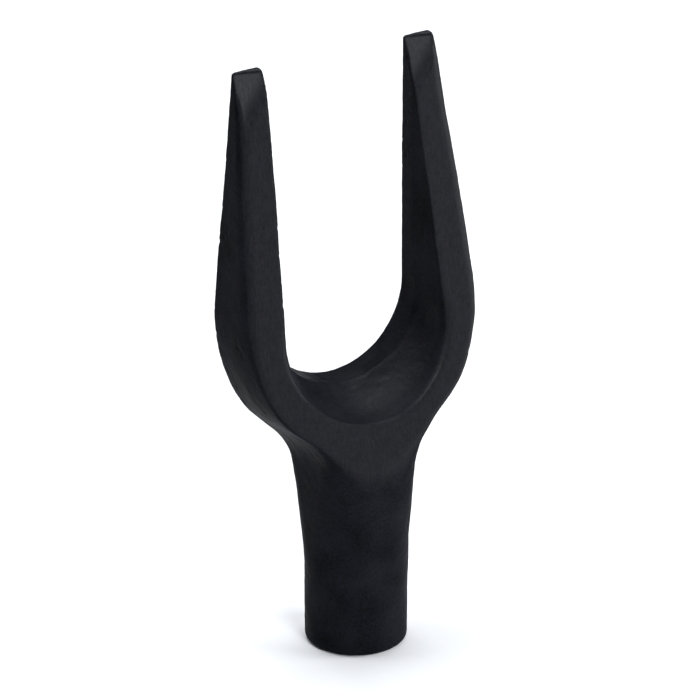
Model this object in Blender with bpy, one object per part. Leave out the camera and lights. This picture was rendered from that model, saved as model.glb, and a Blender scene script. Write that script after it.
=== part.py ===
"""Separator fork head: a forged steel wedge fork with a round driver boss, in metres, +Z up.

The origin is the centre of the boss's lower face. The tines point up +Z, their gap runs through
along Y, the flat ground back face looks along +Y and the sloping ground front face along -Y.
The forging is one piece: a flat blank with a U slot, joined to the boss, with both faces ground.
"""
import math

import bmesh
import bpy

MM = 0.001

# Boss and driver socket
BOSS_RADIUS = 12.7 * MM
BOSS_EDGE = 0.8 * MM
BOSS_TOP = 60.0 * MM           # inside the yoke, just under the slot
FLARE_START = 18.0 * MM        # above this the boss's back half squares up into the yoke
FLARE_END = 51.0 * MM
FLARE_CORNER = 2.0 * MM        # corner radius of the squared back half at FLARE_END
NECK_START = 28.0 * MM         # above this the boss's front half squares up a little
NECK_CORNER = 8.0 * MM         # corner radius of the front half at FLARE_END
SOCKET_MOUTH_RADIUS = 7.2 * MM
SOCKET_END_RADIUS = 6.6 * MM
SOCKET_DEPTH = 32.0 * MM
SOCKET_CHAMFER = 0.8 * MM
DRILL_HALF_ANGLE = math.radians(59.0)

# Ground faces of the wedge, seen from the side
LENGTH = 150.7 * MM
BACK_Y = 12.4 * MM
WEDGE_SLOPE = 0.204            # 11.5 degrees between the two faces
FRONT_RUNOUT = 45.2 * MM       # height where the front face leaves the boss
NOSE_LENGTH = 6.5 * MM
NOSE_EDGE = 2.0 * MM

# Outline of the blank at its ground faces, half of it, seen from the front
TIP_HALF_WIDTH = 27.27 * MM
OUTER_TAPER = math.atan(0.0776)
SHOULDER_Z = 93.0 * MM
SHOULDER_RADIUS = 45.0 * MM
SHOULDER_TURN = math.radians(22.0)
HIP_RADIUS = 25.0 * MM
HIP_TURN = math.radians(49.0)
FOOT_Z = 50.3 * MM             # lowest point of the blank, inside the boss
BACK_SWELL = 0.6 * MM          # how much the outline stands out further at the back face
BACK_HIP_SWELL = 1.1 * MM      # and how much more than that at the lower end of the hips

# U slot between the tines
FRONT_HALF_GAP = 20.7 * MM     # at the tips, as are the two below
RIDGE_HALF_GAP = 20.1 * MM
BACK_HALF_GAP = 20.4 * MM
FRONT_SLOT_TAPER = math.atan(0.0237)
RIDGE_SLOT_TAPER = math.atan(0.0087)
BACK_SLOT_TAPER = 0.0          # at the back face the gap has parallel sides
SLOT_FLOOR_BACK = 67.6 * MM
SLOT_FLOOR_RIDGE = 67.4 * MM
SLOT_FLOOR_FRONT = 62.1 * MM
SLOT_FRONT_Y = -9.3 * MM       # where the front lip of the slot's floor lies

# Forging draft of the outside, and the parting ridges
DRAFT = math.radians(5.0)
OUTER_RIDGE_Y = 1.5 * MM
SLOT_RIDGE_Y = 8.0 * MM

BLANK_FRONT = -20.0 * MM
BLANK_BACK = 16.0 * MM
CUTTER_TOP = LENGTH + 10.0 * MM
RING_STEPS = 48
SHOULDER_STEPS = 4
HIP_STEPS = 4
SLOT_STEPS = 14

STEEL_COLOUR = (0.022, 0.023, 0.027, 1.0)
STEEL_ROUGHNESS = 0.55
STEEL_METALLIC = 0.6


def clear_scene():
    for old in list(bpy.data.objects):
        bpy.data.objects.remove(old, do_unlink=True)


def add_object(name, mesh):
    new_object = bpy.data.objects.new(name, mesh)
    bpy.context.scene.collection.objects.link(new_object)
    return new_object


def loft(name, rings):
    """A closed solid through rings of points, each ring with the same number of points."""
    bm = bmesh.new()
    loops = [[bm.verts.new(point) for point in ring] for ring in rings]
    count = len(loops[0])
    for lower, upper in zip(loops, loops[1:]):
        for i in range(count):
            j = (i + 1) % count
            bm.faces.new((lower[i], lower[j], upper[j], upper[i]))
    bm.faces.new(loops[0])
    bm.faces.new(loops[-1])
    bmesh.ops.recalc_face_normals(bm, faces=bm.faces)
    mesh = bpy.data.meshes.new(name)
    bm.to_mesh(mesh)
    bm.free()
    return add_object(name, mesh)


def arc(centre, radius, start, end, steps, widening=0.0):
    """Points of an arc with both its ends, angles from +X; its radius grows by widening."""
    points = []
    for i in range(steps + 1):
        share = i / steps
        angle = start + (end - start) * share
        reach = radius + widening * share
        points.append((centre[0] + reach * math.cos(angle), centre[1] + reach * math.sin(angle)))
    return points


def mirrored(half):
    """A closed outline from its +X half, which runs from the top to the centre line."""
    return half + [(-x, z) for x, z in reversed(half) if x > 0.0]


def blank_outline(grow, hip_swell):
    """Outer (x, z) outline of the fork blank, moved outwards by grow, and more at the hips."""
    taper = OUTER_TAPER
    shoulder_x = TIP_HALF_WIDTH + (LENGTH - SHOULDER_Z) * math.tan(taper)
    shoulder = (shoulder_x - SHOULDER_RADIUS * math.cos(taper),
                SHOULDER_Z - SHOULDER_RADIUS * math.sin(taper))
    step = SHOULDER_RADIUS - HIP_RADIUS
    hip = (shoulder[0] + step * math.cos(SHOULDER_TURN),
           shoulder[1] - step * math.sin(SHOULDER_TURN))
    upper = arc(shoulder, SHOULDER_RADIUS + grow, taper, -SHOULDER_TURN, SHOULDER_STEPS)
    lower = arc(hip, HIP_RADIUS + grow, -SHOULDER_TURN, -HIP_TURN, HIP_STEPS, hip_swell)
    top_x = upper[0][0] - (CUTTER_TOP - upper[0][1]) * math.tan(taper)
    end_x, end_z = lower[-1]
    knee_x = BOSS_RADIUS
    knee_z = end_z - (end_x - knee_x) / math.tan(HIP_TURN)
    half = [(top_x, CUTTER_TOP)] + upper + lower[1:] + [(knee_x, knee_z), (0.0, FOOT_Z - grow)]
    return mirrored(half)


def slot_outline(floor_z, half_gap, taper):
    """(x, z) outline of the U slot: its floor at floor_z, half_gap wide each side at the tips."""
    wall_at_floor = half_gap + (LENGTH - floor_z) * math.tan(taper)
    radius = wall_at_floor / (1.0 / math.cos(taper) + math.tan(taper))
    bottom = arc((0.0, floor_z + radius), radius, taper, -math.pi / 2.0, SLOT_STEPS)
    top_x = half_gap + (LENGTH - CUTTER_TOP) * math.tan(taper)
    half = [(top_x, CUTTER_TOP)] + bottom[:-1] + [(0.0, floor_z)]
    return mirrored(half)


def at_y(outline, y):
    return [(x, y, z) for x, z in outline]


def make_blank():
    """The filled blank, widest at its parting ridge and fuller behind it than in front."""
    ridge = (BACK_Y - OUTER_RIDGE_Y) * math.tan(DRAFT)
    rings = []
    for y in (BLANK_FRONT, OUTER_RIDGE_Y, BLANK_BACK):
        behind = max(y - OUTER_RIDGE_Y, 0.0) / (BACK_Y - OUTER_RIDGE_Y)
        grow = ridge - abs(y - OUTER_RIDGE_Y) * math.tan(DRAFT) + BACK_SWELL * behind
        rings.append(at_y(blank_outline(grow, BACK_HIP_SWELL * behind), y))
    return loft("fork_head", rings)


def beyond(at_ridge, at_face, reach):
    """The value that a straight line from the ridge through a face takes further out."""
    return at_ridge + (at_face - at_ridge) * reach


def make_slot_cutter():
    """The U slot, narrowest at its own ridge, with a floor that falls towards the front."""
    front_reach = (SLOT_RIDGE_Y - BLANK_FRONT + MM) / (SLOT_RIDGE_Y - SLOT_FRONT_Y)
    back_reach = (BLANK_BACK + MM - SLOT_RIDGE_Y) / (BACK_Y - SLOT_RIDGE_Y)
    front_floor = beyond(SLOT_FLOOR_RIDGE, SLOT_FLOOR_FRONT, front_reach)
    back_floor = beyond(SLOT_FLOOR_RIDGE, SLOT_FLOOR_BACK, back_reach)
    back_gap = beyond(RIDGE_HALF_GAP, BACK_HALF_GAP, back_reach)
    front = slot_outline(front_floor, FRONT_HALF_GAP, FRONT_SLOT_TAPER)
    ridge = slot_outline(SLOT_FLOOR_RIDGE, RIDGE_HALF_GAP, RIDGE_SLOT_TAPER)
    back = slot_outline(back_floor, back_gap, BACK_SLOT_TAPER)
    return loft("slot_cutter", [at_y(front, BLANK_FRONT - MM), at_y(ridge, SLOT_RIDGE_Y),
                                at_y(back, BLANK_BACK + MM)])


def boss_ring(z, radius, front_corner, back_corner):
    """A square of two front and two back corners; a full circle if both equal the radius."""
    quarter = RING_STEPS // 4
    corners = (
        (-1.0, -1.0, front_corner),
        (1.0, -1.0, front_corner),
        (1.0, 1.0, back_corner),
        (-1.0, 1.0, back_corner),
    )
    points = []
    for index, (side_x, side_y, corner) in enumerate(corners):
        start = math.pi + math.pi / 2.0 * index
        middle = radius - corner
        steps = quarter - 1 if corner < radius else quarter
        for i in range(quarter):
            angle = start + math.pi / 2.0 * i / steps
            points.append((side_x * middle + corner * math.cos(angle),
                           side_y * middle + corner * math.sin(angle), z))
    return points


def make_boss():
    """The round boss, which squares up into the yoke, most of all in its back half."""
    rings = []
    for i in range(4):
        angle = math.pi / 2.0 * i / 3
        radius = BOSS_RADIUS - BOSS_EDGE * (1.0 - math.sin(angle))
        height = BOSS_EDGE * (1.0 - math.cos(angle))
        rings.append(boss_ring(height, radius, radius, radius))
    rings.append(boss_ring(FLARE_START, BOSS_RADIUS, BOSS_RADIUS, BOSS_RADIUS))
    steps = 7
    for i in range(1, steps + 1):
        share = i / steps
        height = FLARE_START + (FLARE_END - FLARE_START) * share
        neck_share = max(height - NECK_START, 0.0) / (FLARE_END - NECK_START)
        front = BOSS_RADIUS - (BOSS_RADIUS - NECK_CORNER) * neck_share
        back = BOSS_RADIUS - (BOSS_RADIUS - FLARE_CORNER) * share ** 1.8
        rings.append(boss_ring(height, BOSS_RADIUS, front, back))
    rings.append(boss_ring(BOSS_TOP, BOSS_RADIUS, NECK_CORNER, FLARE_CORNER))
    return loft("boss_body", rings)


def make_wedge_envelope():
    """What grinding leaves: the side profile between both faces, run across the whole width."""
    tip_front_y = -BOSS_RADIUS + (LENGTH - FRONT_RUNOUT) * WEDGE_SLOPE
    nose_z = LENGTH - NOSE_LENGTH
    nose_y = tip_front_y - NOSE_LENGTH * WEDGE_SLOPE
    profile = [(nose_y - (nose_z + 2.0 * MM) * WEDGE_SLOPE, -2.0 * MM)]
    steps = 8
    for i in range(steps + 1):
        angle = math.pi / 2.0 * i / steps
        rise = NOSE_LENGTH * math.sin(angle)
        drift = rise * WEDGE_SLOPE
        bend = (BACK_Y - NOSE_EDGE - tip_front_y) * (1.0 - math.cos(angle))
        profile.append((nose_y + drift + bend, nose_z + rise))
    profile.append((BACK_Y, LENGTH))
    profile.append((BACK_Y, FLARE_START + 4.0 * MM))
    profile.append((BLANK_BACK, FLARE_START - 4.0 * MM))
    profile.append((BLANK_BACK, -2.0 * MM))
    reach = TIP_HALF_WIDTH + 15.0 * MM
    rings = [[(x, y, z) for y, z in profile] for x in (-reach, reach)]
    return loft("wedge_envelope", rings)


def make_socket_cutter():
    """The tapered blind socket for the driver, opening downwards, with a drilled end."""
    below = -1.0 * MM
    mouth = SOCKET_MOUTH_RADIUS + SOCKET_CHAMFER
    point = SOCKET_DEPTH + SOCKET_END_RADIUS / math.tan(DRILL_HALF_ANGLE)
    profile = [
        (mouth - below, below),
        (mouth, 0.0),
        (SOCKET_MOUTH_RADIUS, SOCKET_CHAMFER),
        (SOCKET_END_RADIUS, SOCKET_DEPTH),
        (0.2 * MM, point),
    ]
    rings = [boss_ring(z, radius, radius, radius) for radius, z in profile]
    return loft("socket_cutter", rings)


def add_boolean(target, operand, operation):
    modifier = target.modifiers.new(operand.name, "BOOLEAN")
    modifier.object = operand
    modifier.operation = operation
    modifier.solver = "EXACT"
    operand.hide_render = True
    operand.display_type = "WIRE"
    operand.parent = target


def steel_material():
    material = bpy.data.materials.new("blackened_steel")
    material.use_nodes = True
    shader = material.node_tree.nodes["Principled BSDF"]
    shader.inputs["Base Color"].default_value = STEEL_COLOUR
    shader.inputs["Roughness"].default_value = STEEL_ROUGHNESS
    shader.inputs["Metallic"].default_value = STEEL_METALLIC
    return material


def build():
    clear_scene()
    fork_head = make_blank()
    fork_head.data.materials.append(steel_material())
    add_boolean(fork_head, make_slot_cutter(), "DIFFERENCE")
    add_boolean(fork_head, make_boss(), "UNION")
    add_boolean(fork_head, make_wedge_envelope(), "INTERSECT")
    add_boolean(fork_head, make_socket_cutter(), "DIFFERENCE")
    fork_head.data.shade_smooth()
    fork_head.data.set_sharp_from_angle(angle=math.radians(30.0))


build()
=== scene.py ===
"""Looks of the separator fork head: one fine mesh of the forging in place of the plain CAD solid.

The forging is a signed distance field in millimetres, negative inside, with the same driving
dimensions as the CAD model. Its skin carries forging unevenness, the two wedge faces are ground
flat through that skin, and the surface is extracted as quads that are pulled onto the field.
"""

import math

import bpy
import numpy as np
import openvdb
from mathutils import Matrix, Vector


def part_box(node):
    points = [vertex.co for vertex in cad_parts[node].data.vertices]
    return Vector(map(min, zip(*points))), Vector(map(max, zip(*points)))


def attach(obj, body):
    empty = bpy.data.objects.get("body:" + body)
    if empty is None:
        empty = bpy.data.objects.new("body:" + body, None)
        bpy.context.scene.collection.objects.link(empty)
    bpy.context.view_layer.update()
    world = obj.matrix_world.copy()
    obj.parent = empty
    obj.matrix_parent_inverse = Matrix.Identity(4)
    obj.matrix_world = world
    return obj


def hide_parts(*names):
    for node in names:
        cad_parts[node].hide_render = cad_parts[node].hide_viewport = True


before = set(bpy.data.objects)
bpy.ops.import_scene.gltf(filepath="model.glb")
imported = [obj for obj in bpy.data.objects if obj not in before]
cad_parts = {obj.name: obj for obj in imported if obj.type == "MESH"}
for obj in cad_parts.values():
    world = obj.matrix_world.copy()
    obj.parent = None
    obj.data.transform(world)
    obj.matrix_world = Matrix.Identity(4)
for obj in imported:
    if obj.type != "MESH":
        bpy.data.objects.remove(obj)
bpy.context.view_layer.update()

MM = 0.001
LOW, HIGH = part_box("fork_head")
LENGTH = HIGH[2] / MM
BOSS_RADIUS = -LOW[1] / MM

# Boss, flare and socket
BOSS_EDGE = 1.8                 # blend at the boss's lower edge
FLARE_START = 17.0
FLARE_END = 52.0
FLARE_CORNER = 3.0
FLARE_POWER = 1.8
NECK_START = 28.0
NECK_CORNER = 8.0               # corner radius of the boss's front half under the yoke
NECK_SWELL = 0.4                # how much wider the boss is under the yoke
SOCKET_MOUTH_RADIUS = 7.2
SOCKET_END_RADIUS = 6.6
SOCKET_DEPTH = 32.0
SOCKET_CHAMFER = 0.8
DRILL_HALF_ANGLE = math.radians(59.0)
SOCKET_EDGE = 0.4

# Ground faces of the wedge
BACK_Y = 12.4
BACK_RUNOUT = FLARE_START + 5.0  # below this the back face runs out into the boss
BACK_RUNOUT_SLOPE = 0.45
WEDGE_SLOPE = 0.204
FRONT_RUNOUT = 45.2
NOSE_DEPTH = 1.9                # taken off a tine's tip in the middle of its width
NOSE_SLOPE = 0.30
NOSE_SLANT = 0.33               # both noses are ground deeper on their -X side
NOSE_MIDDLE = 24.0
NOSE_EDGE = 1.2                 # blend between a nose and the sloping face
TIP_EDGE = 0.9
TIP_RISE = 0.6                  # how far the facing of the tips lies past the CAD length
FACE_WAVINESS = 0.025
FACE_WAVE_SIZE = 9.0

# Edges of the ground faces, whose blend is wider in some places in front of the back face
GROUND_EDGE = 0.4               # blend at the inner and back edges
FORWARD_Y = BACK_Y - 2.0        # the wider blends start in front of this
FORWARD_DEPTH = 4.0             # and are whole this much further forward
OUTER_EDGE = 2.4                # at the front face's outer edges
OUTER_INSIDE = 22.0             # how far from the middle that starts on the tines
OUTER_TOP = 90.0                # below this it starts further in and is narrower
OUTER_INSIDE_SLOPE = 0.25
OUTER_WIDTH = 4.0
OUTER_NARROWING = 0.5
OUTER_NARROWING_DEPTH = 15.0
LIP_EDGE = 1.9                  # along the slot's front lip, mostly on its +X side
LIP_TOP = 92.0
LIP_DEPTH = 10.0
LIP_AT_MIDDLE = 0.3             # its share at X = 0
LIP_WIDTH = 10.0
TONGUE_EDGE = 3.0               # where the front face runs out into the boss
TONGUE_TOP = 64.0
TONGUE_DEPTH = 12.0

# Outline of the blank at its ground faces
TIP_HALF_WIDTH = 27.27
OUTER_TAPER = math.atan(0.0776)
SHOULDER_Z = 93.0
SHOULDER_RADIUS = 45.0
SHOULDER_TURN = math.radians(22.0)
HIP_RADIUS = 25.0
HIP_TURN = math.radians(49.0)
FOOT_SLOPE = 0.4
FOOT_Z = 50.3
FOOT_EDGE = 2.0
JUNCTION_FILLET = 7.0

# Draft of the blank's outer sides, and how much fuller its outline is at the back face
OUTER_RIDGE_Y = 1.5
OUTER_DRAFT = math.radians(5.0)
RIDGE_SOFTNESS = 0.5
BACK_SWELL = 0.3
SHOULDER_SWELL, SHOULDER_SWELL_Z, SHOULDER_SWELL_LENGTH = 0.7, 97.0, 20.0
HIP_SWELL, HIP_SWELL_Z, HIP_SWELL_LENGTH = 1.6, 58.0, 9.0

# U slot
TIP_HALF_GAP = 20.7
SLOT_TAPER = math.atan(0.0237)
SLOT_EDGE = 0.8
SLOT_RIDGE_Y = 8.0
SLOT_RIDGE_DROP = 3.3           # how much further forward the ridge lies round the floor
SLOT_RIDGE_BEND = 100.0         # the ridge starts to move forward below this
SLOT_RIDGE_BEND_DEPTH = 28.0
SLOT_FLOOR_BACK = 67.6
SLOT_FLOOR_RIDGE = 67.4
SLOT_FLOOR_FRONT = 62.1
SLOT_FRONT_Y = -9.3
SLOT_SCOOP = 1.5                # how deep the floor is hollowed in front of the ridge
SLOT_BACK_DRAFT = math.radians(5.0)
SLOT_FRONT_DRAFT = math.radians(3.0)
SLOT_BACK_NARROW = 0.3          # the gap hardly widens downwards at the back face

# Forged skin: height, size and seed of its lumps, and its dents
SKIN_LUMPS = ((0.11, 11.0, 3), (0.08, 4.5, 5), (0.05, 1.9, 8))
DENT_DEPTH = 0.6
DENT_SIZE = 1.7
DENT_SEED = 21
DENT_THRESHOLD = 0.62
WAVE_SEED = 11
NOISE_CELLS = 64                # the noise repeats after this many lumps
NOISE_SHIFT = 1000.0            # lumps by which the noise is moved off the origin

# Where the surface is ground, and where the slot's skin shines, as the dies left it
GROUND_FADE = 0.5               # length over which ground surface turns into forged skin
TONGUE_FADE = 1.2               # how much longer that is round the tongue
GROUND_BIAS = 0.1               # the ground share where the two surfaces meet
SHEEN_REACH = 1.5               # how far from the slot's wall the sheen ends
SHEEN_TOP = 86.0
SHEEN_TOP_FADE = 12.0
SHEEN_EDGE_Y = SLOT_RIDGE_Y - SLOT_RIDGE_DROP + 0.5  # just behind the ridge
SHEEN_BEHIND = 0.2              # what is left of the sheen behind the ridge
SHEEN_AT_FRONT = 0.4            # and at the slot's front
SHEEN_FALL_START = 1.9          # its strength at the ridge, before it is held to 1
SHEEN_FALL_LENGTH = 7.0         # it falls by 1 over this length towards the front
SHEEN_LEFT = 6.0                # in front of the ridge it starts this far on the -X side
SHEEN_LEFT_FADE = 8.0

# Surface extraction
CELL = 0.46
MARGIN = 2.0
NEWTON_STEPS = 4
GRADIENT_STEP = 0.05
LEAST_STEEPNESS = 0.05          # keeps a Newton step short where the field is flat


def ramp(distance, length):
    """Rises from 0 to 1 over length."""
    return np.clip(distance / length, 0.0, 1.0)


def hump(place, middle, length):
    """A bell curve of height 1."""
    return np.exp(-((place - middle) / length) ** 2)


def smooth_max(a, b, radius):
    """The larger of two fields, with their crease rounded over about radius."""
    h = np.maximum(radius - np.abs(a - b), 0.0) / radius
    return np.maximum(a, b) + h * h * radius * 0.25


def smooth_min(a, b, radius):
    """The smaller of two fields, with the same rounding."""
    return -smooth_max(-a, -b, radius)


def value_noise(points, size, seed):
    """Smooth noise from -1 to 1 whose lumps are about size across."""
    count = NOISE_CELLS
    lattice = np.random.default_rng(seed).uniform(-1.0, 1.0, (count, count, count))
    lattice = lattice.astype(points.dtype)
    scaled = points / size + NOISE_SHIFT
    base = np.floor(scaled).astype(np.int64)
    t = scaled - base
    t = t * t * (3.0 - 2.0 * t)
    total = np.zeros(len(points), points.dtype)
    for i in (0, 1):
        for j in (0, 1):
            for k in (0, 1):
                weight = ((t[:, 0] if i else 1.0 - t[:, 0])
                          * (t[:, 1] if j else 1.0 - t[:, 1])
                          * (t[:, 2] if k else 1.0 - t[:, 2]))
                total += weight * lattice[(base[:, 0] + i) % count,
                                          (base[:, 1] + j) % count,
                                          (base[:, 2] + k) % count]
    return total


def softened(value):
    """Absolute value with a rounded bottom."""
    return np.sqrt(value * value + RIDGE_SOFTNESS ** 2) - RIDGE_SOFTNESS


def blank_field(x, y, z):
    """The blank: its outline swept along Y, widest at the parting ridge."""
    side = np.abs(x)
    taper = OUTER_TAPER
    shoulder_x = TIP_HALF_WIDTH + (LENGTH - SHOULDER_Z) * math.tan(taper)
    centre_x = shoulder_x - SHOULDER_RADIUS * math.cos(taper)
    centre_z = SHOULDER_Z - SHOULDER_RADIUS * math.sin(taper)
    step = SHOULDER_RADIUS - HIP_RADIUS
    hip_x = centre_x + step * math.cos(SHOULDER_TURN)
    hip_z = centre_z - step * math.sin(SHOULDER_TURN)

    straight = (side - shoulder_x) * math.cos(taper) + (z - SHOULDER_Z) * math.sin(taper)
    shoulder = np.hypot(side - centre_x, z - centre_z) - SHOULDER_RADIUS
    hip = np.hypot(side - hip_x, z - hip_z) - HIP_RADIUS
    thigh = ((side - hip_x) * math.cos(HIP_TURN) - (z - hip_z) * math.sin(HIP_TURN)) - HIP_RADIUS
    shoulder_angle = np.arctan2(z - centre_z, side - centre_x)
    hip_angle = np.arctan2(z - hip_z, side - hip_x)
    outline = np.where(shoulder_angle > taper, straight, shoulder)
    lower = np.where(hip_angle < -HIP_TURN, thigh, hip)
    outline = np.where(shoulder_angle < -SHOULDER_TURN, lower, outline)
    foot = (FOOT_Z + FOOT_SLOPE * side - z) / math.hypot(1.0, FOOT_SLOPE)
    outline = smooth_max(outline, foot, FOOT_EDGE)

    ridge = (BACK_Y - OUTER_RIDGE_Y) * math.tan(OUTER_DRAFT)
    grow = ridge - softened(y - OUTER_RIDGE_Y) * math.tan(OUTER_DRAFT)
    swell = (BACK_SWELL
             + SHOULDER_SWELL * hump(z, SHOULDER_SWELL_Z, SHOULDER_SWELL_LENGTH)
             + HIP_SWELL * hump(z, HIP_SWELL_Z, HIP_SWELL_LENGTH))
    grow = grow + ramp(y - OUTER_RIDGE_Y, BACK_Y - OUTER_RIDGE_Y) * swell
    return (outline - grow) * math.cos(OUTER_DRAFT)


def slot_field(x, y, z):
    """The U slot, negative in the open space, narrowest at its own ridge."""
    ridge_y = SLOT_RIDGE_Y - SLOT_RIDGE_DROP * ramp(SLOT_RIDGE_BEND - z, SLOT_RIDGE_BEND_DEPTH)
    back = np.maximum(y - ridge_y, 0.0)
    front = np.maximum(ridge_y - y, 0.0)
    share = front / (ridge_y - SLOT_FRONT_Y)
    floor = SLOT_FLOOR_RIDGE - (SLOT_FLOOR_RIDGE - SLOT_FLOOR_FRONT) * share
    floor -= SLOT_SCOOP * 4.0 * share * np.maximum(1.0 - share, 0.0)
    floor += (SLOT_FLOOR_BACK - SLOT_FLOOR_RIDGE) * back / (BACK_Y - ridge_y)
    widen = (SLOT_RIDGE_Y - BACK_Y) * math.tan(SLOT_BACK_DRAFT)
    widen = widen + back * math.tan(SLOT_BACK_DRAFT) + front * math.tan(SLOT_FRONT_DRAFT)

    deep = ramp(y - SLOT_FRONT_Y, BACK_Y - SLOT_FRONT_Y) ** 2
    widen = widen - SLOT_BACK_NARROW * deep
    tangent = math.tan(SLOT_TAPER) * (1.0 - deep)
    half_at_floor = TIP_HALF_GAP + widen + (LENGTH - floor) * tangent
    radius = half_at_floor / (np.hypot(1.0, tangent) + tangent)
    above = z - (floor + radius)
    wall = (np.abs(x) - TIP_HALF_GAP - widen - (LENGTH - z) * tangent) / np.hypot(1.0, tangent)
    round_floor = np.hypot(x, above) - radius
    return np.where(above > np.abs(x) * tangent, wall, round_floor)


def boss_field(x, y, z):
    """The boss, whose back half squares up towards the yoke, and its front half less so."""
    share = ramp(z - FLARE_START, FLARE_END - FLARE_START)
    corner = BOSS_RADIUS - (BOSS_RADIUS - FLARE_CORNER) * share ** FLARE_POWER
    across = np.abs(x) - (BOSS_RADIUS - corner)
    behind = y - (BOSS_RADIUS - corner)
    squared = np.hypot(np.maximum(across, 0.0), np.maximum(behind, 0.0))
    squared = squared + np.minimum(np.maximum(across, behind), 0.0) - corner

    share = ramp(z - NECK_START, FLARE_END - NECK_START)
    corner = BOSS_RADIUS - (BOSS_RADIUS - NECK_CORNER) * share
    across = np.maximum(np.abs(x) - (BOSS_RADIUS - corner), 0.0)
    before = np.maximum(-y - (BOSS_RADIUS - corner), 0.0)
    round_front = np.hypot(across, before) - corner
    swell = NECK_SWELL * ramp(z, FLARE_END) * ramp(np.abs(x), BOSS_RADIUS)
    return np.where(y > 0.0, squared, round_front) - swell


def socket_field(x, y, z):
    """The tapered blind socket, negative in the open space."""
    radius = np.hypot(x, y)
    slope = (SOCKET_MOUTH_RADIUS - SOCKET_END_RADIUS) / SOCKET_DEPTH
    wall = radius - (SOCKET_MOUTH_RADIUS - z * slope)
    point = z - SOCKET_DEPTH - (SOCKET_END_RADIUS - radius) / math.tan(DRILL_HALF_ANGLE)
    hole = np.maximum(wall, point * math.sin(DRILL_HALF_ANGLE))
    chamfer = (radius - SOCKET_MOUTH_RADIUS - SOCKET_CHAMFER + z) * math.sqrt(0.5)
    return np.minimum(hole, np.maximum(chamfer, z - SOCKET_MOUTH_RADIUS))


def front_field(x, y, z):
    """In front of the sloping ground face and of the noses at the tips, positive outside."""
    face_y = -BOSS_RADIUS + (z - FRONT_RUNOUT) * WEDGE_SLOPE
    face = (face_y - y) / math.hypot(1.0, WEDGE_SLOPE)
    across = np.where(x > 0.0, x - NOSE_MIDDLE, x + NOSE_MIDDLE)
    nose_y = face_y + NOSE_DEPTH - NOSE_SLANT * across - NOSE_SLOPE * (LENGTH - z)
    nose = (nose_y - y) / math.hypot(1.0, WEDGE_SLOPE + NOSE_SLOPE, NOSE_SLANT)
    return smooth_max(face, nose, NOSE_EDGE)


def back_field(y, z):
    """Behind the flat ground back face, positive outside; it runs out into the boss."""
    face_y = BACK_Y + BACK_RUNOUT_SLOPE * np.maximum(BACK_RUNOUT - z, 0.0)
    return y - face_y


def skin_unevenness(points):
    """How far the forged skin stands proud, in lumps of three sizes, less its dents."""
    lumps = sum(height * value_noise(points, size, seed) for height, size, seed in SKIN_LUMPS)
    dents = np.maximum(value_noise(points, DENT_SIZE, DENT_SEED) - DENT_THRESHOLD, 0.0)
    return lumps - DENT_DEPTH * dents


def forged_field(points):
    """The forging before it is ground: blank and boss, with the slot left open."""
    x, y, z = points.T
    body = smooth_min(blank_field(x, y, z), boss_field(x, y, z), JUNCTION_FILLET)
    body = smooth_max(body, -slot_field(x, y, z), SLOT_EDGE)
    return body - skin_unevenness(points)


def ground_field(points):
    """Everything that grinding and facing take away, positive outside."""
    x, y, z = points.T
    wavy = FACE_WAVINESS * value_noise(points, FACE_WAVE_SIZE, WAVE_SEED)
    faces = smooth_max(front_field(x, y, z), back_field(y, z), GROUND_EDGE) + wavy
    return smooth_max(faces, z - LENGTH - TIP_RISE, TIP_EDGE)


def ground_edge(x, y, z):
    """How wide the edge between ground face and forged skin is rounded over."""
    forward = ramp(FORWARD_Y - y, FORWARD_DEPTH)
    inside = OUTER_INSIDE - OUTER_INSIDE_SLOPE * np.maximum(OUTER_TOP - z, 0.0)
    outer = forward * ramp(np.abs(x) - inside, OUTER_WIDTH)
    outer *= 1.0 - OUTER_NARROWING * ramp(OUTER_TOP - z, OUTER_NARROWING_DEPTH)
    low = forward * ramp(TONGUE_TOP - z, TONGUE_DEPTH)
    lip = forward * ramp(LIP_TOP - z, LIP_DEPTH)
    lip *= np.clip(x / LIP_WIDTH + LIP_AT_MIDDLE, 0.0, 1.0)
    wide = np.maximum(OUTER_EDGE * outer, TONGUE_EDGE * low)
    return GROUND_EDGE + np.maximum(wide, LIP_EDGE * lip)


def head_field(points):
    """The whole head, negative inside."""
    x, y, z = points.T
    head = smooth_max(forged_field(points), ground_field(points), ground_edge(x, y, z))
    head = smooth_max(head, -z, BOSS_EDGE)
    return smooth_max(head, -socket_field(x, y, z), SOCKET_EDGE)


def gradient(field, points):
    """The field's slope along X, Y and Z, from central differences."""
    parts = []
    for axis in range(3):
        step = np.zeros(3)
        step[axis] = GRADIENT_STEP
        parts.append((field(points + step) - field(points - step)) / (2.0 * GRADIENT_STEP))
    return np.stack(parts, 1)


def sample_grid():
    """The field on a regular grid round the head."""
    low = np.array([c / MM for c in LOW]) - MARGIN
    high = np.array([c / MM for c in HIGH]) + MARGIN
    counts = np.ceil((high - low) / CELL).astype(int) + 1
    values = np.empty(counts, np.float32)
    axis_x, axis_y, axis_z = (low[i] + CELL * np.arange(counts[i]) for i in range(3))
    grid_y, grid_z = np.meshgrid(axis_y, axis_z, indexing="ij")
    flat_y, flat_z = grid_y.ravel(), grid_z.ravel()
    for i, level in enumerate(axis_x):
        layer = np.stack([np.full_like(flat_y, level), flat_y, flat_z], 1)
        values[i] = head_field(layer).reshape(grid_y.shape)
    return values, low


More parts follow.
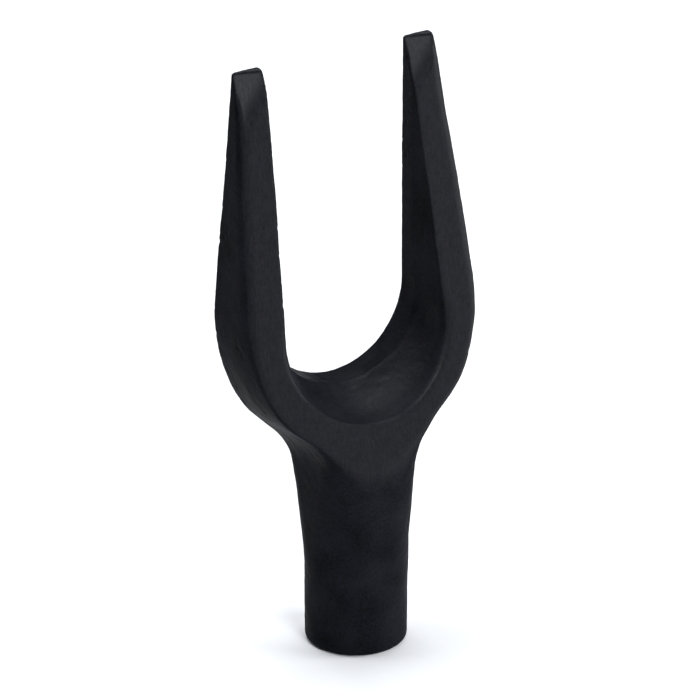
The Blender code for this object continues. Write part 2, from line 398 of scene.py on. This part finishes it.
def extract_surface():
    """Quads of the field's zero surface, pulled onto it by Newton steps."""
    values, low = sample_grid()
    grid = openvdb.FloatGrid(float(values.max()) + 1.0)
    grid.copyFromArray(values)
    index_points, quads = grid.convertToQuads(isovalue=0.0)
    points = index_points.astype(np.float64) * CELL + low
    for _ in range(NEWTON_STEPS):
        slope = gradient(head_field, points)
        steepness = np.maximum((slope * slope).sum(1), LEAST_STEEPNESS)
        points -= slope * (head_field(points) / steepness)[:, None]
    return points, quads


def outward(points, quads):
    """The quads, wound so that the solid's volume is positive."""
    a, b, c, d = (points[quads[:, i]] for i in range(4))
    volume = (np.cross(a, b) * c).sum() + (np.cross(a, c) * d).sum()
    return quads if volume > 0.0 else quads[:, ::-1]


def finish_shares(points):
    """How much of the surface at each point is ground, and how much of its skin shines."""
    x, y, z = points.T
    forged = forged_field(points)
    ground = ground_field(points)
    fade = GROUND_FADE + TONGUE_FADE * ramp(TONGUE_TOP - z, TONGUE_DEPTH)
    share = np.clip((ground - forged) / fade + GROUND_BIAS, 0.0, 1.0)

    sheen = np.clip(SHEEN_REACH - np.abs(slot_field(x, y, z)), 0.0, 1.0) * (1.0 - share)
    sheen *= ramp(SHEEN_TOP - z, SHEEN_TOP_FADE)
    in_front = SHEEN_EDGE_Y - y
    fall = SHEEN_FALL_START - in_front / SHEEN_FALL_LENGTH
    sheen *= np.clip(in_front, SHEEN_BEHIND, 1.0) * np.clip(fall, SHEEN_AT_FRONT, 1.0)
    sheen *= np.where(in_front > 0.0, ramp(x + SHEEN_LEFT, SHEEN_LEFT_FADE), 1.0)
    return share, sheen


def make_head():
    """The forged head as one mesh, with its finish in two point attributes."""
    points, quads = extract_surface()
    mesh = bpy.data.meshes.new("forged_head")
    mesh.from_pydata((points * MM).tolist(), [], outward(points, quads).tolist())
    mesh.validate()
    for name, values in zip(("ground", "sheen"), finish_shares(points)):
        attribute = mesh.attributes.new(name, "FLOAT", "POINT")
        attribute.data.foreach_set("value", values.astype(np.float32))
    mesh.shade_smooth()
    head = bpy.data.objects.new("forged_head", mesh)
    bpy.context.scene.collection.objects.link(head)
    return head


# Materials: noises as scale per metre and detail, heights in metres, ranges from low to high

BLOTCH_NOISE = (90.0, 4.0)
PIT_NOISE = (450.0, 3.0)
GRAIN_NOISE = (1900.0, 2.0)
LINE_NOISE = (2200.0, 3.0)
LINE_STRETCH = (1.0, 1.0, 0.03)  # the grinding lines run along Z
TONE_RANGE = (0.35, 0.65)        # the part of a noise that is spread from dark to pale
ROUGHNESS_RANGE = (0.3, 0.7)     # the part of a noise that is spread over the roughness
SKIN_GRAIN = 0.4                 # the grain's share in the tone
FACE_GRAIN = 0.5
SKIN_COLOURS = (0.0040, 0.0042, 0.0054, 1.0), (0.0120, 0.0126, 0.0160, 1.0)
FACE_COLOURS = (0.0030, 0.0032, 0.0044, 1.0), (0.0082, 0.0086, 0.0116, 1.0)
SKIN_ROUGHNESS = (0.46, 0.58)
FACE_ROUGHNESS = (0.34, 0.44)
SKIN_GLOSS = 0.012               # as Specular IOR Level
SHEEN_GLOSS = 0.13
FACE_GLOSS = 0.12
BLOTCH_HEIGHT = 0.00016
PIT_HEIGHT = 0.00010
SHEEN_PIT_HEIGHT = 0.00025
LINE_HEIGHT = 0.000015
FLOOR_COLOUR = (0.96, 0.96, 0.96, 1.0)
FLOOR_ROUGHNESS = 0.9
FLOOR_GLOSS = 0.1


def add_node(tree, kind, **settings):
    """A new node with its properties set."""
    node = tree.nodes.new(kind)
    for name, value in settings.items():
        setattr(node, name, value)
    return node


def noise_texture(tree, vector, scale, detail):
    node = add_node(tree, "ShaderNodeTexNoise")
    node.inputs["Scale"].default_value = scale
    node.inputs["Detail"].default_value = detail
    tree.links.new(vector, node.inputs["Vector"])
    return node.outputs["Fac"]


def scaled_vector(tree, vector, scale):
    node = add_node(tree, "ShaderNodeVectorMath", operation="MULTIPLY")
    node.inputs[1].default_value = scale
    tree.links.new(vector, node.inputs[0])
    return node.outputs[0]


def math_node(tree, operation, a, b):
    """One operation on two numbers, each a constant or a node's output."""
    node = add_node(tree, "ShaderNodeMath", operation=operation)
    for socket, value in zip(node.inputs, (a, b)):
        if isinstance(value, (int, float)):
            socket.default_value = value
        else:
            tree.links.new(value, socket)
    return node.outputs[0]


def mapped(tree, value, source, target=(0.0, 1.0)):
    """Spreads the source range of a value over the target range."""
    node = add_node(tree, "ShaderNodeMapRange")
    for name, number in zip(("From Min", "From Max", "To Min", "To Max"), source + target):
        node.inputs[name].default_value = number
    tree.links.new(value, node.inputs["Value"])
    return node.outputs["Result"]


def mixed(tree, factor, a, b, kind="FLOAT"):
    """Mixes two numbers or two colours, each a constant or a node's output."""
    node = add_node(tree, "ShaderNodeMix", data_type=kind)
    sockets = [s for s in node.inputs if s.enabled]
    for socket, value in zip(sockets, (factor, a, b)):
        if isinstance(value, bpy.types.NodeSocket):
            tree.links.new(value, socket)
        else:
            socket.default_value = value
    return [s for s in node.outputs if s.enabled][0]


def blackened_steel():
    """Black finish on forged skin, and on ground faces with fine lines along the tines."""
    material = bpy.data.materials.new("blackened_steel")
    material.use_nodes = True
    tree = material.node_tree
    shader = tree.nodes["Principled BSDF"]
    place = add_node(tree, "ShaderNodeTexCoord").outputs["Object"]
    ground = add_node(tree, "ShaderNodeAttribute", attribute_name="ground").outputs["Fac"]
    sheen = add_node(tree, "ShaderNodeAttribute", attribute_name="sheen").outputs["Fac"]

    blotches = noise_texture(tree, place, *BLOTCH_NOISE)
    pits = noise_texture(tree, place, *PIT_NOISE)
    grain = noise_texture(tree, place, *GRAIN_NOISE)
    lines = noise_texture(tree, scaled_vector(tree, place, LINE_STRETCH), *LINE_NOISE)

    skin_tone = mapped(tree, mixed(tree, SKIN_GRAIN, blotches, grain), TONE_RANGE)
    skin_colour = mixed(tree, skin_tone, *SKIN_COLOURS, "RGBA")
    face_tone = mapped(tree, mixed(tree, FACE_GRAIN, lines, grain), TONE_RANGE)
    face_colour = mixed(tree, face_tone, *FACE_COLOURS, "RGBA")
    tree.links.new(mixed(tree, ground, skin_colour, face_colour, "RGBA"),
                   shader.inputs["Base Color"])

    skin_roughness = mapped(tree, blotches, ROUGHNESS_RANGE, SKIN_ROUGHNESS)
    face_roughness = mapped(tree, lines, ROUGHNESS_RANGE, FACE_ROUGHNESS)
    tree.links.new(mixed(tree, ground, skin_roughness, face_roughness),
                   shader.inputs["Roughness"])
    shader.inputs["Metallic"].default_value = 0.0
    skin_gloss = mixed(tree, sheen, SKIN_GLOSS, SHEEN_GLOSS)
    tree.links.new(mixed(tree, ground, skin_gloss, FACE_GLOSS),
                   shader.inputs["Specular IOR Level"])

    pit_height = mixed(tree, sheen, PIT_HEIGHT, SHEEN_PIT_HEIGHT)
    skin_height = math_node(tree, "ADD", math_node(tree, "MULTIPLY", blotches, BLOTCH_HEIGHT),
                            math_node(tree, "MULTIPLY", pits, pit_height))
    face_height = math_node(tree, "MULTIPLY", lines, LINE_HEIGHT)
    bump = add_node(tree, "ShaderNodeBump")
    bump.inputs["Distance"].default_value = 1.0
    bump.inputs["Strength"].default_value = 1.0
    tree.links.new(mixed(tree, ground, skin_height, face_height), bump.inputs["Height"])
    tree.links.new(bump.outputs["Normal"], shader.inputs["Normal"])
    return material


def pale_floor_material():
    material = bpy.data.materials.new("pale_floor")
    material.use_nodes = True
    shader = material.node_tree.nodes["Principled BSDF"]
    shader.inputs["Base Color"].default_value = FLOOR_COLOUR
    shader.inputs["Roughness"].default_value = FLOOR_ROUGHNESS
    shader.inputs["Specular IOR Level"].default_value = FLOOR_GLOSS
    return material


# Stage, light and camera, in metres and watts

FLOOR_REACH = 1.5
CAMERA_AZIMUTH = math.radians(32.05)
CAMERA_ELEVATION = math.radians(24.13)
CAMERA_ROLL = math.radians(0.15)
CAMERA_DISTANCE = 1.2367
CAMERA_LENS = 262.0
CAMERA_SENSOR = 36.0
AIM_RIGHT = -0.00163
AIM_HEIGHT = 0.07754
LIGHT_COLOUR = (0.94, 0.96, 1.0)
WORLD_COLOUR = (0.90, 0.94, 1.0, 1.0)
WORLD_STRENGTH = 0.10
HEAD_MIDDLE = (0.0, 0.0, 0.08)
LIGHTS = (  # name, place, aim, width and height, power
    ("overhead", (0.25, 0.45, 1.35), (0.1, 0.15, 0.0), 1.1, 17.0),
    ("high_left", (-0.55, 0.45, 1.25), HEAD_MIDDLE, 0.5, 5.0),
    ("front_high", (-0.12, -1.17, 0.78), HEAD_MIDDLE, 0.5, 10.0),
    ("front_right", (1.15, -0.8, 0.5), HEAD_MIDDLE, 0.7, 17.0),
)


def add_floor():
    mesh = bpy.data.meshes.new("floor")
    corners = [(x * FLOOR_REACH, y * FLOOR_REACH, 0.0)
               for x, y in ((-1, -1), (1, -1), (1, 1), (-1, 1))]
    mesh.from_pydata(corners, [], [(0, 1, 2, 3)])
    mesh.materials.append(pale_floor_material())
    floor = bpy.data.objects.new("floor", mesh)
    bpy.context.scene.collection.objects.link(floor)


def add_light(name, place, aim, size, power):
    light = bpy.data.lights.new(name, "AREA")
    light.shape = "RECTANGLE"
    light.size = light.size_y = size
    light.energy = power
    light.color = LIGHT_COLOUR
    lamp = bpy.data.objects.new(name, light)
    lamp.location = place
    lamp.rotation_euler = (Vector(aim) - Vector(place)).to_track_quat("-Z", "Y").to_euler()
    bpy.context.scene.collection.objects.link(lamp)


def add_lights():
    world = bpy.data.worlds.new("studio")
    world.use_nodes = True
    background = world.node_tree.nodes["Background"]
    background.inputs["Color"].default_value = WORLD_COLOUR
    background.inputs["Strength"].default_value = WORLD_STRENGTH
    bpy.context.scene.world = world
    for name, place, aim, size, power in LIGHTS:
        add_light(name, place, aim, size, power)


def add_camera():
    """In front, to the -X side and above, level but for a slight roll."""
    data = bpy.data.cameras.new("camera")
    data.lens = CAMERA_LENS
    data.sensor_width = CAMERA_SENSOR
    camera = bpy.data.objects.new("camera", data)
    az, el = CAMERA_AZIMUTH, CAMERA_ELEVATION
    toward = Vector((-math.sin(az) * math.cos(el), -math.cos(az) * math.cos(el), math.sin(el)))
    right = Vector((math.cos(az), -math.sin(az), 0.0))
    up = toward.cross(right)
    aim = right * AIM_RIGHT + Vector((0.0, 0.0, AIM_HEIGHT))
    basis = Matrix((right, up, toward)).transposed()
    basis = basis @ Matrix.Rotation(CAMERA_ROLL, 3, "Z")
    camera.matrix_world = Matrix.Translation(aim + toward * CAMERA_DISTANCE) @ basis.to_4x4()
    bpy.context.scene.collection.objects.link(camera)
    bpy.context.scene.camera = camera


head = make_head()
head.data.materials.append(blackened_steel())
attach(head, "root")
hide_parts("fork_head")

add_floor()
add_lights()
add_camera()

bpy.context.scene.view_settings.view_transform = "Standard"
